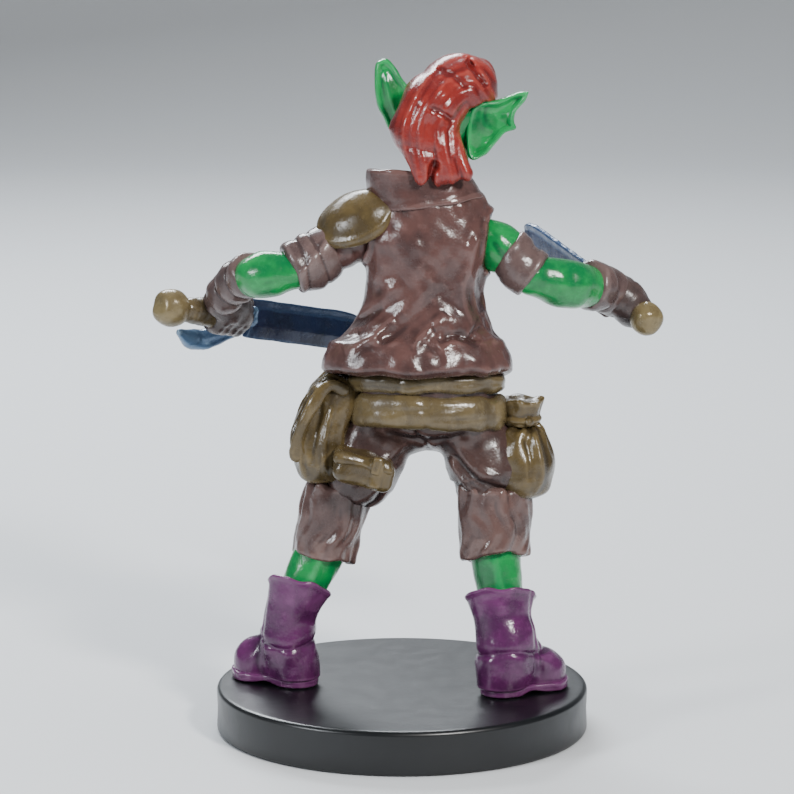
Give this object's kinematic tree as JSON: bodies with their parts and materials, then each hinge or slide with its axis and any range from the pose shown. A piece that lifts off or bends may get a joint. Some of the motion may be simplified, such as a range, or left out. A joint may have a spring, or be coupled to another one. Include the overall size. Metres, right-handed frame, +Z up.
{
  "type": "painted miniature figure",
  "caption": "Painted tabletop miniature: a goblin rogue with a hair crest and a dagger in each fist, standing on a plain round base.",
  "frame": {"origin": "middle of the round base's flat underside", "axes": "+Z up, +Y the way the figure's chest faces, +X towards the figure's right hand"},
  "size_m": [0.0343, 0.0282, 0.0456],
  "materials": {
    "base_plastic": "satin black plastic",
    "boot_paint": "glossy purple paint",
    "skin_paint": "glossy green paint",
    "cloth_paint": "glossy dark brown paint",
    "belt_paint": "glossy ochre paint",
    "pouch_paint": "glossy ochre paint",
    "brass_paint": "glossy ochre paint",
    "leather_paint": "glossy red-brown paint",
    "wrap_paint": "glossy grey-brown paint",
    "glove_paint": "glossy dark brown paint",
    "shirt_paint": "satin linen-coloured paint",
    "hair_paint": "glossy red paint",
    "steel_paint": "glossy blue-steel paint",
    "eye_paint": "glossy pale yellow paint"
  },
  "bodies": {
    "root": {"base_disc": "base_plastic", "left_boot_sole": "boot_paint", "left_boot": "boot_paint", "left_boot_cuff": "boot_paint", "left_shin": "skin_paint", "left_trouser_leg": "cloth_paint", "left_thigh": "cloth_paint", "right_boot_sole": "boot_paint", "right_boot": "boot_paint", "right_boot_cuff": "boot_paint", "right_shin": "skin_paint", "right_trouser_leg": "cloth_paint", "right_thigh": "cloth_paint", "pelvis": "cloth_paint", "upper_belt": "belt_paint", "hip_belt": "belt_paint", "belt_buckle": "brass_paint", "left_satchel": "pouch_paint", "left_satchel_flap": "pouch_paint", "thigh_pouch": "pouch_paint", "thigh_pouch_lid": "pouch_paint", "right_pouch": "pouch_paint", "right_pouch_neck": "pouch_paint", "shirt": "shirt_paint", "vest": "leather_paint", "vest_hem": "leather_paint", "collar": "leather_paint", "shoulder_pad": "pouch_paint", "neck": "skin_paint", "head": "skin_paint", "nose": "skin_paint", "left_eye": "eye_paint", "right_eye": "eye_paint", "left_ear": "skin_paint", "right_ear": "skin_paint", "hair_crest": "hair_paint", "hair_quiff": "hair_paint", "hair_tail_left": "hair_paint", "hair_tail_right": "hair_paint", "left_sleeve": "leather_paint", "left_arm_wrap": "wrap_paint", "left_forearm": "skin_paint", "left_wrist_wrap": "wrap_paint", "left_hand": "glove_paint", "right_upper_arm": "skin_paint", "right_arm_band": "wrap_paint", "right_forearm": "skin_paint", "right_wrist_wrap": "wrap_paint", "right_hand": "glove_paint", "left_dagger_pommel": "brass_paint", "left_dagger_grip": "brass_paint", "left_dagger_guard": "steel_paint", "left_dagger_blade": "steel_paint", "right_dagger_pommel": "brass_paint", "right_dagger_grip": "brass_paint", "right_dagger_guard": "steel_paint", "right_dagger_blade": "steel_paint"}
  },
  "joints": []
}
